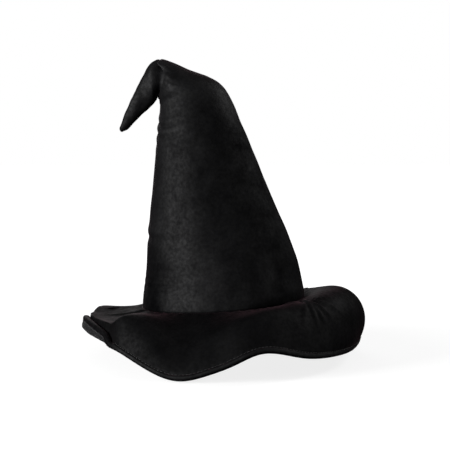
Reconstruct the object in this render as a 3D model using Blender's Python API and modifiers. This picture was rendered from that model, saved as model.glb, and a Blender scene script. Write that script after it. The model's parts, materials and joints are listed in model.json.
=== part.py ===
"""A soft velvet witch hat, standing on its drooping brim.

The crown is a padded cone that folds over twice near its top: at the shoulder, where it
leans to the left, and at the crest, where the tip drops. The brim is a padded sheet with a
wire inside its bound edge, which holds it in waves.

Metres, +Z up, +X to the hat's right as it faces the viewer, +Y to its back. The origin is
the middle of the hat's footprint, on the surface that it stands on.
"""

import math

import bmesh
import bpy
from mathutils import Vector

MM = 0.001

# Where the middle of the crown's base is, in millimetres from the origin.
CROWN_BASE = Vector((-1.4, 4.8, 65.0))
CROWN_RIGHT = Vector((97.0, 0.0, 7.0))
CROWN_LEFT = Vector((-97.0, 0.0, -6.0))
CROWN_HALF_DEPTH = 87.5

# The cloth layers, from the outside in, each with a small gap to the next.
VELVET = 1.2
FOAM = 2.6
LINING = 0.8
GAP = 0.3
FOAM_DEPTH = VELVET + GAP
TIP_FOAM_DEPTH = 2.2
LINING_DEPTH = FOAM_DEPTH + FOAM + GAP
SWEATBAND_DEPTH = LINING_DEPTH + LINING + GAP
SWEATBAND = 0.9
BRIM_FOAM = 1.6
UNDER_DEPTH = FOAM_DEPTH + BRIM_FOAM + GAP
BRIM_THICKNESS = UNDER_DEPTH + VELVET

# The crown's side outline, in millimetres from the middle of its base: a point on the
# outer (right) wall and the point on the inner (left) wall that shares its ring, as X, Z.
CROWN_OUTLINE = [
    ((97.0, 7.0), (-97.0, -6.0)),
    ((87.0, 52.0), (-92.0, 38.0)),
    ((67.5, 103.0), (-89.0, 92.0)),
    ((43.5, 156.0), (-83.0, 146.0)),
    ((23.5, 205.0), (-78.0, 198.0)),
    ((8.5, 241.0), (-75.0, 233.0)),  # shoulder
    ((-2.0, 257.0), (-75.5, 236.0)),
    ((-17.0, 266.5), (-76.0, 238.0)),
    ((-43.0, 275.5), (-77.0, 239.0)),
    ((-71.5, 286.8), (-79.0, 238.5)),  # crest
    ((-85.0, 282.5), (-82.5, 234.5)),
    ((-95.5, 265.5), (-89.5, 227.5)),
    ((-104.5, 248.5), (-98.5, 219.0)),
    ((-112.5, 231.5), (-106.5, 211.5)),
    ((-118.5, 217.5), (-112.5, 205.0)),
    ((-122.0, 208.0), (-118.0, 202.4)),
]
SHOULDER = 5.0
CREST = 9.0
TIP_END = 15.0
FOLD_GAP = 0.05  # half the gap that a fold leaves between its two sides, in stations
TIP_HALF_DEPTHS = [17.0, 13.0, 9.5, 7.5, 6.0, 5.0, 3.6]  # from the crest to the tip's end
CROWN_START = 0.015  # the crown's first ring, in stations above the brim
LINER_START = 0.06  # the same for the layers inside the velvet
LINER_GAP = 0.35  # half of the gap in the tip's and the bend's inner layers, at the crest

# The brim: how wide it is, from where it leaves the crown's wall to its edge.
BRIM_WIDTH = 110.0
BRIM_START = 1.5
BRIM_ROWS = (108.7, 102.5, 88.0, 70.0, 52.0, 34.0, 16.0, 0.0, -6.0)  # from the edge in to the crown

# The brim's edge at 16 even steps round the crown, from the right and on to the back, in
# millimetres from the middle of the crown's base: X, Y, Z, then the angle in degrees at
# which the brim leaves the crown and the one at which it reaches the edge, both above
# level, and how full the cloth is there, as a multiple of BRIM_WIDTH.
BRIM_EDGE = [
    (160.5, -5.0, -46.0, 40.0, -119.0, 1.14),
    (156.0, 55.0, -56.0, 25.0, -102.0, 1.06),
    (120.0, 109.0, -63.8, 4.0, -86.0, 1.0),
    (68.0, 148.0, -56.0, -12.0, -65.0, 0.92),
    (10.0, 161.0, -48.0, -13.0, -56.0, 0.89),
    (-46.0, 158.0, -56.0, -17.0, -60.0, 0.92),
    (-104.0, 129.0, -63.2, -22.0, -84.0, 0.95),
    (-140.0, 86.0, -54.0, -23.0, -92.0, 0.93),
    (-151.0, 10.0, -40.0, -7.0, -142.0, 0.93),
    (-152.0, -81.0, -23.5, 5.0, -104.0, 0.92),
    (-115.0, -131.0, -37.0, 4.0, -68.0, 0.94),
    (-57.0, -163.0, -62.5, -18.0, -84.0, 0.98),
    (-4.0, -171.0, -49.0, -8.0, -56.0, 0.94),
    (44.0, -170.0, -28.5, 5.0, -48.0, 0.95),
    (98.0, -136.0, -43.0, 20.0, -78.0, 1.04),
    (143.5, -75.0, -47.5, 36.0, -99.0, 1.11),
]

# The bound edge: a folded strip over the edges of the brim's layers, with the wire in it.
BINDING = 0.8
BINDING_ROLL = 1.6  # its thickness round the very edge
BINDING_GAP = 0.5
BINDING_UNDER_GAP = 0.7
BINDING_EDGE_GAP = 0.7
WIRE_RADIUS = 0.6
WIRE_FROM_EDGE = 1.9
SLEEVE_RADIUS = 0.95
SLEEVE_BORE = 0.75
SLEEVE_LENGTH = 12.0
THREAD_RADIUS = 0.4
STITCH_FROM_EDGE = 5.0
JOIN_SIDE = 14  # the wire's two ends meet in the middle of this side, at the back
WIRE_GAP = 0.3  # half of the gap between them

SWEATBAND_TOP = 0.65  # in stations
LABEL_SIZE = (24.0, 0.5, 14.0)
LABEL_AWAY = 2.4
LABEL_LEAN = math.radians(12.0)

CROWN_SIDES = 28
TIP_SIDES = 20
BRIM_SIDES = 56

COLOURS = {
    "velvet": ((0.006, 0.006, 0.007), 0.85, 0.0),
    "under_velvet": ((0.010, 0.010, 0.011), 0.9, 0.0),
    "foam": ((0.05, 0.05, 0.055), 0.95, 0.0),
    "lining": ((0.012, 0.012, 0.014), 0.45, 0.0),
    "ribbon": ((0.010, 0.010, 0.012), 0.6, 0.0),
    "thread": ((0.015, 0.015, 0.016), 0.5, 0.0),
    "label": ((0.75, 0.74, 0.72), 0.5, 0.0),
    "steel": ((0.45, 0.45, 0.47), 0.35, 1.0),
}


def blend_points(a, b, c, d, t):
    """A Catmull-Rom curve between b and c."""
    return 0.5 * (
        2 * b + (c - a) * t + (2 * a - 5 * b + 4 * c - d) * t * t + (3 * b - a - 3 * c + d) * t**3
    )


# --- the crown -------------------------------------------------------------------------


def wall_points(station):
    """The outer and the inner wall's points at a place along the crown's outline."""
    last = len(CROWN_OUTLINE) - 1
    i = min(int(station), last - 1)
    near = [CROWN_OUTLINE[min(max(i + k, 0), last)] for k in (-1, 0, 1, 2)]
    walls = []
    for side in (0, 1):
        a, b, c, d = (Vector((p[side][0], 0.0, p[side][1])) for p in near)
        walls.append(blend_points(a, b, c, d, station - i))
    return walls


def outer_length(start, end, steps=60):
    """How long the outer wall is between two stations."""
    points = [wall_points(start + (end - start) * i / steps)[0] for i in range(steps + 1)]
    return sum((b - a).length for a, b in zip(points, points[1:]))


FULL_SLANT = outer_length(0.0, TIP_END, 240)
BASE_GIRTH = 2 * math.pi * math.sqrt(
    (((CROWN_RIGHT - CROWN_LEFT).length / 2) ** 2 + CROWN_HALF_DEPTH**2) / 2
)


def half_depth(station, half_width):
    """Half the crown's size in Y: its girth shrinks as a cone's does, and the tip lies flat."""
    if station >= CREST:
        i = min(int(station - CREST), len(TIP_HALF_DEPTHS) - 2)
        t = station - CREST - i
        return TIP_HALF_DEPTHS[i] * (1 - t) + TIP_HALF_DEPTHS[i + 1] * t
    girth = BASE_GIRTH * (1 - outer_length(0.0, station) / FULL_SLANT)
    squared = 2 * (girth / (2 * math.pi)) ** 2 - half_width**2
    return max(math.sqrt(max(squared, 0.0)), TIP_HALF_DEPTHS[0])


def ring_frame(station):
    """The middle of a ring, the vector to its outer wall, and its half depth."""
    outer, inner = wall_points(station)
    reach = (outer - inner) / 2
    return (outer + inner) / 2, reach, half_depth(station, reach.length)


def crown_point(frame, angle):
    middle, reach, depth = frame
    side = Vector((0.0, depth * math.sin(angle), 0.0))
    return CROWN_BASE + middle + reach * math.cos(angle) + side


def crown_rings(stations, sides=CROWN_SIDES):
    """A ring of points at each of the stations."""
    turns = [2 * math.pi * i / sides for i in range(sides)]
    return [[crown_point(ring_frame(s), turn) for turn in turns] for s in stations]


def steps(start, end, count):
    return [start + (end - start) * k / count for k in range(count + 1)]


# --- the brim --------------------------------------------------------------------------


def edge_values(angle):
    """The brim's edge point, its two slopes and its width at an angle round the crown."""
    steps = len(BRIM_EDGE)
    place = (angle / (2 * math.pi) * steps) % steps
    i = int(place)
    near = [BRIM_EDGE[(i + k) % steps] for k in (-1, 0, 1, 2)]
    mixed = [blend_points(*values, place - i) for values in zip(*near)]
    return Vector(mixed[:3]), math.radians(mixed[3]), math.radians(mixed[4]), mixed[5] * BRIM_WIDTH


def seam_point(angle, outward=0.0):
    """A point of the seam between crown and brim, or outside it by a distance."""
    reach = (CROWN_RIGHT - CROWN_LEFT) / 2
    half_width = reach.length
    point = reach * math.cos(angle) + Vector((0.0, CROWN_HALF_DEPTH * math.sin(angle), 0.0))
    away = reach.normalized() * CROWN_HALF_DEPTH * math.cos(angle)
    away += Vector((0.0, half_width * math.sin(angle), 0.0))
    return (CROWN_RIGHT + CROWN_LEFT) / 2 + point + outward * away.normalized()


def bezier(a, b, c, d, t):
    return (1 - t) ** 3 * a + 3 * (1 - t) ** 2 * t * b + 3 * (1 - t) * t * t * c + t**3 * d


def curve_points(start, first, end, last, pull, steps=40):
    """A curve from start to end that leaves along first and arrives along last."""
    handles = (start, start + pull * first, end - pull * last, end)
    return [bezier(*handles, i / steps) for i in range(steps + 1)]


def path_length(points):
    return sum((b - a).length for a, b in zip(points, points[1:]))


def brim_line(angle):
    """Points on the brim's upper surface, one for each of BRIM_ROWS, along a line that bulges
    just as much as makes it as long as the cloth is wide there."""
    edge, leaving, arriving, width = edge_values(angle)
    start = seam_point(angle, BRIM_START)
    level = Vector((edge.x - start.x, edge.y - start.y, 0.0)).normalized()
    up = Vector((0.0, 0.0, 1.0))
    first = level * math.cos(leaving) + up * math.sin(leaving)
    last = level * math.cos(arriving) + up * math.sin(arriving)
    low, high = 0.0, 2 * BRIM_WIDTH
    for _ in range(30):
        pull = (low + high) / 2
        if path_length(curve_points(start, first, edge, last, pull)) < width - BRIM_START:
            low = pull
        else:
            high = pull
    line = [seam_point(angle, BRIM_ROWS[-1])] + curve_points(start, first, edge, last, pull)
    return [CROWN_BASE + along_line(line, row * width / BRIM_WIDTH) for row in BRIM_ROWS]


def along_line(points, distance):
    """The point a distance along a line from its second point; the first lies inside that."""
    if distance < 0:
        return points[1] + (points[0] - points[1]).normalized() * -distance
    for a, b in zip(points[1:], points[2:]):
        length = (b - a).length
        if distance <= length:
            return a.lerp(b, distance / length)
        distance -= length
    return points[-1]


def brim_rings():
    """The rings of the brim's upper surface, from the edge in, each with its points' normals."""
    lines = [brim_line(2 * math.pi * i / BRIM_SIDES) for i in range(BRIM_SIDES)]
    rings = [list(ring) for ring in zip(*lines)]
    mesh = mesh_from_rings("normals", rings)
    normals = [vertex.normal.copy() for vertex in mesh.vertices]
    bpy.data.meshes.remove(mesh)
    count = BRIM_SIDES
    return rings, [normals[k * count : (k + 1) * count] for k in range(len(rings))]


def near_edge(rings, normals, row, depth):
    """A ring of points by the brim's edge, row millimetres from the crown and depth down."""
    share = (row - BRIM_ROWS[1]) / (BRIM_ROWS[0] - BRIM_ROWS[1])
    points = []
    for outer, inner, up_out, up_in in zip(rings[0], rings[1], normals[0], normals[1]):
        outer, inner = outer - depth * up_out, inner - depth * up_in
        points.append(inner + share * (outer - inner))
    return points


# --- making objects --------------------------------------------------------------------


def clear_scene():
    for obj in list(bpy.data.objects):
        bpy.data.objects.remove(obj)


def make_material(name):
    colour, roughness, metallic = COLOURS[name]
    material = bpy.data.materials.new(name)
    material.use_nodes = True
    shader = material.node_tree.nodes["Principled BSDF"]
    shader.inputs["Base Color"].default_value = (*colour, 1.0)
    shader.inputs["Roughness"].default_value = roughness
    shader.inputs["Metallic"].default_value = metallic
    return material


def place(obj, material, body):
    """Puts an object in the hat's collection, on its body's empty, with its material."""
    hat.objects.link(obj)
    obj.data.materials.append(materials[material])
    obj.parent = body
    obj.matrix_parent_inverse = body.matrix_world.inverted()
    return obj


def mesh_from_rings(name, rings, end_cap=False, closed_section=False):
    """A surface through rings of points. Its faces point out where the rings run anticlockwise
    and climb. closed_section joins the last ring to the first as well."""
    bm = bmesh.new()
    verts = [[bm.verts.new(p * MM) for p in ring] for ring in rings]
    pairs = list(zip(verts, verts[1:])) + ([(verts[-1], verts[0])] if closed_section else [])
    for low, high in pairs:
        for i in range(len(low)):
            j = (i + 1) % len(low)
            corners = (low[i], low[j], high[j], high[i])
            bm.faces.new(corners[1:] + corners[:1] if closed_section else corners)
    if end_cap:
        middle = sum(rings[-1], Vector()) / len(rings[-1])
        centre = bm.verts.new(middle * MM)
        for i in range(len(verts[-1])):
            bm.faces.new((verts[-1][i], verts[-1][(i + 1) % len(verts[-1])], centre))
    mesh = bpy.data.meshes.new(name)
    bm.to_mesh(mesh)
    bm.free()
    mesh.shade_smooth()
    return mesh


def layer(name, material, body, rings, depth, thickness, end_cap=False):
    """A sheet of cloth: the surface through the rings, moved in by depth and made thick."""
    obj = bpy.data.objects.new(name, mesh_from_rings(name, rings, end_cap))
    if depth:
        inward = obj.modifiers.new("Depth", "DISPLACE")
        inward.mid_level = 0.0
        inward.strength = -depth * MM
    solidify = obj.modifiers.new("Thickness", "SOLIDIFY")
    solidify.thickness = thickness * MM
    solidify.offset = -1.0
    return place(obj, material, body)


def tube(name, material, body, points, radius, cyclic, sides=6):
    curve = bpy.data.curves.new(name, "CURVE")
    curve.dimensions = "3D"
    curve.bevel_depth = radius * MM
    curve.bevel_resolution = (sides - 4) // 2
    curve.use_fill_caps = not cyclic
    spline = curve.splines.new("POLY")
    spline.points.add(len(points) - 1)
    for spot, point in zip(spline.points, points):
        spot.co = (*(point * MM), 1.0)
    spline.use_cyclic_u = cyclic
    return place(bpy.data.objects.new(name, curve), material, body)


# --- the pieces ------------------------------------------------------------------------


def build_crown(base):
    """The standing part of the crown, from the brim to the shoulder."""
    stations = [CROWN_START, LINER_START] + steps(0.6, SHOULDER - FOLD_GAP, 6)
    rings = crown_rings(stations)
    layer("crown_velvet", "velvet", base, rings, 0.0, VELVET)
    layer("crown_foam", "foam", base, rings[1:], FOAM_DEPTH, FOAM)
    layer("crown_lining", "lining", base, rings[1:], LINING_DEPTH, LINING)


def build_bend(body):
    """The part of the crown between its two folds."""
    rings = crown_rings(steps(SHOULDER + FOLD_GAP, CREST - LINER_GAP, 6) + [CREST - FOLD_GAP])
    layer("bend_velvet", "velvet", body, rings, 0.0, VELVET)
    layer("bend_foam", "foam", body, rings[:-1], FOAM_DEPTH, FOAM)
    layer("bend_lining", "lining", body, rings[:-1], LINING_DEPTH, LINING)


def build_tip(body):
    """The drooping tip: velvet over a core of foam, where the cone's two sides lie together."""
    rings = crown_rings([CREST + FOLD_GAP] + steps(CREST + LINER_GAP, TIP_END, 7), TIP_SIDES)
    layer("tip_velvet", "velvet", body, rings, 0.0, VELVET, end_cap=True)

    core = mesh_from_rings("tip_foam", rings[1:-2], end_cap=True)
    shrink_and_close(core, TIP_FOAM_DEPTH)
    place(bpy.data.objects.new("tip_foam", core), "foam", body)


def shrink_and_close(mesh, depth):
    """Moves an open mesh in by depth and fills its opening."""
    bm = bmesh.new()
    bm.from_mesh(mesh)
    for vertex, normal in [(v, v.normal.copy()) for v in bm.verts]:
        vertex.co -= depth * MM * normal
    bmesh.ops.holes_fill(bm, edges=bm.edges)
    bmesh.ops.recalc_face_normals(bm, faces=bm.faces)
    bm.to_mesh(mesh)
    bm.free()


def build_brim(base, rings):
    """The brim's three sheets."""
    layer("brim_top_velvet", "velvet", base, rings, 0.0, VELVET)
    layer("brim_foam", "foam", base, rings[1:], FOAM_DEPTH, BRIM_FOAM)
    layer("brim_under_velvet", "under_velvet", base, rings, UNDER_DEPTH, VELVET)


def build_binding(base, rings, normals):
    """The strip folded over the brim's edge. Where the brim rests, its underside lies flat."""
    top, bottom = -BINDING_GAP, BRIM_THICKNESS + BINDING_UNDER_GAP
    leg, edge = BRIM_ROWS[1], BRIM_ROWS[0]
    outline = [
        (leg, top - BINDING),
        (edge, top - BINDING),
        (edge + BINDING_EDGE_GAP + BINDING_ROLL, top),
        (edge + BINDING_EDGE_GAP + BINDING_ROLL, bottom),
        (edge, bottom + BINDING),
        (leg, bottom + BINDING),
        (leg, bottom),
        (edge + BINDING_EDGE_GAP, bottom),
        (edge + BINDING_EDGE_GAP, top),
        (leg, top),
    ]
    section = [near_edge(rings, normals, row, depth) for row, depth in outline]
    section = [[Vector((p.x, p.y, max(p.z, 0.0))) for p in ring] for ring in section]
    mesh = mesh_from_rings("brim_binding", section[::-1], closed_section=True)
    place(bpy.data.objects.new("brim_binding", mesh), "velvet", base)


def build_wire(base, rings, normals):
    """The brim's wire, open at the back, where a crimped sleeve joins its two ends."""
    ring = near_edge(rings, normals, BRIM_ROWS[0] - WIRE_FROM_EDGE, BRIM_THICKNESS / 2)
    first = JOIN_SIDE + 1
    before, after = ring[JOIN_SIDE], ring[first]
    along = (after - before).normalized()
    centre = (before + after) / 2
    line = [centre + along * WIRE_GAP] + ring[first:] + ring[:first] + [centre - along * WIRE_GAP]
    tube("brim_wire", "steel", base, line, WIRE_RADIUS, cyclic=False)

    sleeve = bpy.data.objects.new("wire_sleeve", sleeve_mesh())
    sleeve.location = centre * MM
    sleeve.rotation_mode = "QUATERNION"
    sleeve.rotation_quaternion = along.to_track_quat("Z", "Y")
    place(sleeve, "steel", base)


def sleeve_mesh():
    """A short tube along Z."""
    turns = [2 * math.pi * i / 12 for i in range(12)]
    end = SLEEVE_LENGTH / 2
    outline = [(SLEEVE_RADIUS, -end), (SLEEVE_RADIUS, end), (SLEEVE_BORE, end), (SLEEVE_BORE, -end)]
    rings = [[Vector((r * math.cos(a), r * math.sin(a), z)) for a in turns] for r, z in outline]
    return mesh_from_rings("wire_sleeve", rings, closed_section=True)


def build_stitching(base, rings, normals):
    """The two threads of the row of stitches that holds the binding."""
    away = BINDING + GAP + THREAD_RADIUS
    row = BRIM_ROWS[0] - STITCH_FROM_EDGE
    for name, depth in (
        ("brim_topstitch", -BINDING_GAP - away),
        ("brim_understitch", BRIM_THICKNESS + BINDING_UNDER_GAP + away),
    ):
        line = near_edge(rings, normals, row, depth)
        tube(name, "thread", base, line, THREAD_RADIUS, cyclic=True, sides=4)


def build_sweatband(base):
    """The ribbon inside the head opening, its row of stitches and the size label."""
    rings = crown_rings(steps(LINER_START, SWEATBAND_TOP, 2))
    layer("sweatband", "ribbon", base, rings, SWEATBAND_DEPTH, SWEATBAND)

    inside = SWEATBAND_DEPTH + SWEATBAND + GAP + THREAD_RADIUS
    stitch = inset_ring(LINER_START * 2, inside)
    tube("sweatband_stitch", "thread", base, stitch, THREAD_RADIUS, cyclic=True, sides=4)
    build_label(base)


def inset_ring(station, depth):
    """A ring of the crown moved straight in by depth."""
    middle, reach, half = ring_frame(station)
    shrunk = middle, reach * (1 - depth / reach.length), half - depth
    return [crown_point(shrunk, 2 * math.pi * i / CROWN_SIDES) for i in range(CROWN_SIDES)]


def build_label(base):
    """The size label, flat against the back of the sweatband."""
    back = inset_ring(SWEATBAND_TOP * 0.62, SWEATBAND_DEPTH + SWEATBAND + LABEL_AWAY)
    bm = bmesh.new()
    bmesh.ops.create_cube(bm, size=MM)
    bmesh.ops.scale(bm, vec=LABEL_SIZE, verts=bm.verts)
    mesh = bpy.data.meshes.new("size_label")
    bm.to_mesh(mesh)
    bm.free()
    label = bpy.data.objects.new("size_label", mesh)
    label.location = back[CROWN_SIDES // 4] * MM
    label.rotation_euler.x = LABEL_LEAN
    place(label, "label", base)


def fold_line(station):
    """A point on a fold's axis, which runs along Y on the crown's outer wall."""
    return (CROWN_BASE + wall_points(station)[0]) * MM


def make_bodies():
    """Empties on the joint axes: the base stands still, the bend turns at the shoulder and
    the tip turns at the crest."""
    bodies = []
    for name, spot in (
        ("hat_base", Vector()),
        ("crown_bend", fold_line(SHOULDER)),
        ("crown_tip", fold_line(CREST)),
    ):
        empty = bpy.data.objects.new(name, None)
        empty.location = spot
        hat.objects.link(empty)
        bodies.append(empty)
    base, bend, tip = bodies
    bend.parent = base
    tip.parent = bend
    tip.location = tip.location - bend.location
    bpy.context.view_layer.update()
    return bodies


clear_scene()
hat = bpy.data.collections.new("witch_hat")
bpy.context.scene.collection.children.link(hat)
materials = {name: make_material(name) for name in COLOURS}
base, bend, tip = make_bodies()
build_crown(base)
build_bend(bend)
build_tip(tip)
rings, normals = brim_rings()
build_brim(base, rings)
build_binding(base, rings, normals)
build_wire(base, rings, normals)
build_stitching(base, rings, normals)
build_sweatband(base)
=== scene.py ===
"""A black velvet witch hat: its cloth, padding, lining and stitching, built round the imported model.

Lengths inside the functions are millimetres; meshes are made in metres. The crown is a cone
of cloth that folds at the shoulder and again at the crest, where the tip drops; the brim is a
padded sheet in waves, with a wire in its turned and stitched edge.
"""

import json
import math

import bmesh
import bpy
import numpy as np
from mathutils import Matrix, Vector, noise


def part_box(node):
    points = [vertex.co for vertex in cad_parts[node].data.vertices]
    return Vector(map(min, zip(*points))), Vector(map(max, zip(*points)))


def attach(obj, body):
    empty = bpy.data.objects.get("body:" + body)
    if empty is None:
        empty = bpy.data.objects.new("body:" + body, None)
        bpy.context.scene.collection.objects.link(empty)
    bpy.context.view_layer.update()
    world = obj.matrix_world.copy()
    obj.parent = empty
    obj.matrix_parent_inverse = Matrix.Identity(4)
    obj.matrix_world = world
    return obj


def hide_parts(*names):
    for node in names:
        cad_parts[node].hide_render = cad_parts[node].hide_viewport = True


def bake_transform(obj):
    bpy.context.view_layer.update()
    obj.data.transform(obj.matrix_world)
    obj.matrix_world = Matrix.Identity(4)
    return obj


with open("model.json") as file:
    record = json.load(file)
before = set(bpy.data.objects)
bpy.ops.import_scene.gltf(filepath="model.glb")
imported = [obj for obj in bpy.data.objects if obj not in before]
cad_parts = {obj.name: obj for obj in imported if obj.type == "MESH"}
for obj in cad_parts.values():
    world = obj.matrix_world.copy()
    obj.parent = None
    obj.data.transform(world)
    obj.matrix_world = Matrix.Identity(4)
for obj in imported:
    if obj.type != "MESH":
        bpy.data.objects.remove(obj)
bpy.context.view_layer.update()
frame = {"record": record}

MM = 0.001

# --- the shape, as the model has it --------------------------------------------------------

mounts = {mount["name"]: np.array(mount["pos_m"]) / MM for mount in frame["record"]["mounts"]}
CROWN_BASE = mounts["head_opening"]
CROWN_RIGHT = np.array([97.0, 0.0, 7.0])
CROWN_LEFT = np.array([-97.0, 0.0, -6.0])
CROWN_HALF_DEPTH = 87.5

# The crown's outer (right) and inner (left) walls, from the middle of its base: X, Z, X, Z.
# Under the bend the inner wall is up to 4 mm from the model's, so that it lies smoothly.
CROWN_OUTLINE = [
    (97, 7, -97, -6),
    (87, 52, -92, 38),
    (67.5, 103, -89, 92),
    (43.5, 156, -83, 146),
    (23.5, 205, -78, 198),
    (8.5, 241, -75, 229),  # shoulder
    (-2, 257, -75.4, 235.2),
    (-17, 266.5, -75.6, 237.6),
    (-43, 275.5, -75.8, 239),
    (-71.5, 286.8, -76.5, 239.8),  # crest
    (-85, 282.5, -82.5, 234.5),
    (-95.5, 265.5, -89.5, 227.5),
    (-104.5, 248.5, -98.5, 219),
    (-112.5, 231.5, -106.5, 211.5),
    (-118.5, 217.5, -112.5, 205),
    (-122, 208, -118, 202.4),
]
CREST, TIP_END = 9.0, 15.0
BELOW_BASE = 46.0  # millimetres that one station is worth below the crown's base
TIP_HALF_DEPTHS = [17.0, 13.0, 9.5, 7.5, 6.0, 5.0, 3.6]

# The brim's edge at 16 even steps round: X, Y, Z from the middle of the crown's base, the
# angles above level at which the brim leaves the crown and reaches its edge, and its width
# as a multiple of BRIM_WIDTH.
BRIM_WIDTH = 110.0
BRIM_EDGE = [
    (160.5, -5, -46, 40, -119, 1.14),
    (156, 55, -56, 25, -102, 1.06),
    (120, 109, -63.8, 4, -86, 1),
    (68, 148, -56, -12, -65, 0.92),
    (10, 161, -48, -13, -56, 0.89),
    (-46, 158, -56, -17, -60, 0.92),
    (-104, 129, -63.2, -22, -84, 0.95),
    (-140, 86, -54, -23, -92, 0.93),
    (-151, 10, -40, -7, -142, 0.93),
    (-152, -81, -23.5, 5, -104, 0.92),
    (-115, -131, -37, 4, -68, 0.94),
    (-57, -163, -62.5, -18, -84, 0.98),
    (-4, -171, -49, -8, -56, 0.94),
    (44, -170, -28.5, 5, -48, 0.95),
    (98, -136, -43, 20, -78, 1.04),
    (143.5, -75, -47.5, 36, -99, 1.11),
]
BRIM_START, BRIM_FIRST_ROW = 1.5, -6.0  # millimetres out from the crown's seam
BRIM_EDGE_ROW = 108.7  # where the CAD's sheets end, in millimetres from the crown

# The layers' depths below the velvet's outer face.
VELVET = 1.2
CROWN_PADDING = (1.5, 4.1)
CROWN_LINING = 4.4
LINING = 0.8
TIP_PADDING = 2.2
BRIM_PADDING = (1.5, 3.1)
BRIM_UNDER = 3.4
SWEATBAND = 6.5

# How finely the cloth is built.
CROWN_AROUND, CROWN_ROWS = 256, 150
TIP_AROUND, TIP_ROWS = 96, 64
BRIM_AROUND, BRIM_ROWS = 512, 56
STITCH_SIDES, STITCH_RINGS = 6, 7
STITCH_RISE = 0.35


# --- curves and surfaces -------------------------------------------------------------------


def spline(rows, places, closed=False):
    """Points of a Catmull-Rom curve through rows, at places counted in rows."""
    rows, places = np.asarray(rows, float), np.asarray(places, float)
    last = len(rows) - 1
    step = np.floor(places).astype(int)
    step = step if closed else np.clip(step, 0, last - 1)
    near = [step + k for k in (-1, 0, 1, 2)]
    near = [i % len(rows) if closed else np.clip(i, 0, last) for i in near]
    a, b, c, d = (rows[i] for i in near)
    t = (places - step)[..., None] if rows.ndim > 1 else places - step
    return 0.5 * (
        2 * b + (c - a) * t + (2 * a - 5 * b + 4 * c - d) * t**2 + (3 * b - a - 3 * c + d) * t**3
    )


def smoothstep(low, high, x):
    t = np.clip((x - low) / (high - low), 0.0, 1.0)
    return t * t * (3 - 2 * t)


def bump(x, centre, width):
    return np.exp(-(((x - centre) / width) ** 2))


def turn_from(angle, other):
    """The signed angle from other to angle, the short way round."""
    return (angle - other + math.pi) % (2 * math.pi) - math.pi


def unit(vectors):
    return vectors / np.linalg.norm(vectors, axis=-1, keepdims=True)


def steps_round(count):
    """The angles of even steps round a circle."""
    return np.arange(count) * 2 * math.pi / count


def values_at(where, places, values):
    """The rows of values, one for each place, interpolated to where."""
    return np.stack([np.interp(where, places, column) for column in values.T], axis=-1)


def lengths_along(points):
    return np.concatenate([[0.0], np.cumsum(np.linalg.norm(np.diff(points, axis=0), axis=-1))])


FINE_STATIONS = np.linspace(0.0, TIP_END, 3001)
FINE_LENGTHS = lengths_along(spline(CROWN_OUTLINE, FINE_STATIONS)[:, :2])
BASE_GIRTH = 2 * math.pi * math.sqrt(
    ((np.linalg.norm(CROWN_RIGHT - CROWN_LEFT) / 2) ** 2 + CROWN_HALF_DEPTH**2) / 2
)


def half_depth(stations, half_widths):
    """Half the crown's size in Y: its girth shrinks as a cone's does, and the tip lies flat."""
    share = 1 - np.interp(stations, FINE_STATIONS, FINE_LENGTHS) / FINE_LENGTHS[-1]
    squared = 2 * (BASE_GIRTH * share / (2 * math.pi)) ** 2 - half_widths**2
    cone = np.maximum(np.sqrt(np.maximum(squared, 0.0)), TIP_HALF_DEPTHS[0])
    tip = spline(TIP_HALF_DEPTHS, np.maximum(stations - CREST, 0))
    return np.where(stations < CREST, cone, tip)


def crown_surface(stations, angles):
    """Points on the crown's velvet at stations and angles of the same shape."""
    stations, angles = np.broadcast_arrays(stations, angles)
    walls = spline(CROWN_OUTLINE, np.clip(stations, 0.0, TIP_END))
    outer, inner = walls[..., :2], walls[..., 2:]
    middle, reach = (outer + inner) / 2, (outer - inner) / 2
    depth = half_depth(np.clip(stations, 0.0, TIP_END), np.linalg.norm(reach, axis=-1))
    flat = middle + reach * np.cos(angles)[..., None]
    flat[..., 1] += np.minimum(stations, 0.0) * BELOW_BASE
    return CROWN_BASE + np.stack([flat[..., 0], depth * np.sin(angles), flat[..., 1]], axis=-1)


def normals_of(points):
    """The outward normals of a grid whose rows climb and whose columns run anticlockwise."""
    along = np.gradient(points, axis=0)
    around = np.roll(points, -1, axis=1) - np.roll(points, 1, axis=1)
    across = np.cross(around, along)
    return across / np.maximum(np.linalg.norm(across, axis=-1, keepdims=True), 1e-9)


BRIM_ANGLES = steps_round(BRIM_AROUND)


def even_stations(first, last, count):
    """Stations spaced evenly along the crown's outer wall."""
    ends = np.interp([first, last], FINE_STATIONS, FINE_LENGTHS)
    return np.interp(np.linspace(*ends, count), FINE_LENGTHS, FINE_STATIONS)


def soft_noise(points, size, seed):
    """Smooth noise from -1 to 1 at each point, with features of a size in millimetres."""
    shift = Vector((seed * 17.3, seed * 5.9, seed * 11.1))
    flat = points.reshape(-1, 3) / size
    return np.array([noise.noise(Vector(p) + shift) for p in flat]).reshape(points.shape[:-1])


def seam_line(angles, outward):
    """Points of the seam between crown and brim, moved out by a distance."""
    reach = (CROWN_RIGHT - CROWN_LEFT) / 2
    half_width = np.linalg.norm(reach)
    cos, sin = np.cos(angles)[:, None], np.sin(angles)[:, None]
    back = np.array([[0.0, 1.0, 0.0]])
    away = unit(reach / half_width * CROWN_HALF_DEPTH * cos + back * half_width * sin)
    oval = (CROWN_RIGHT + CROWN_LEFT) / 2 + reach * cos + back * CROWN_HALF_DEPTH * sin
    return oval + outward * away


def rounded_off(values, angle):
    """Values round a ring, smoothed over an angle in degrees."""
    waves = np.fft.fftfreq(len(values), 1 / len(values))[:, None]
    kept = np.exp(-0.5 * (waves * math.radians(angle)) ** 2)
    return np.real(np.fft.ifft(np.fft.fft(values, axis=0) * kept, axis=0))


def bezier(a, b, c, d, t):
    return (1 - t) ** 3 * a + 3 * (1 - t) ** 2 * t * b + 3 * (1 - t) * t * t * c + t**3 * d


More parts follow.
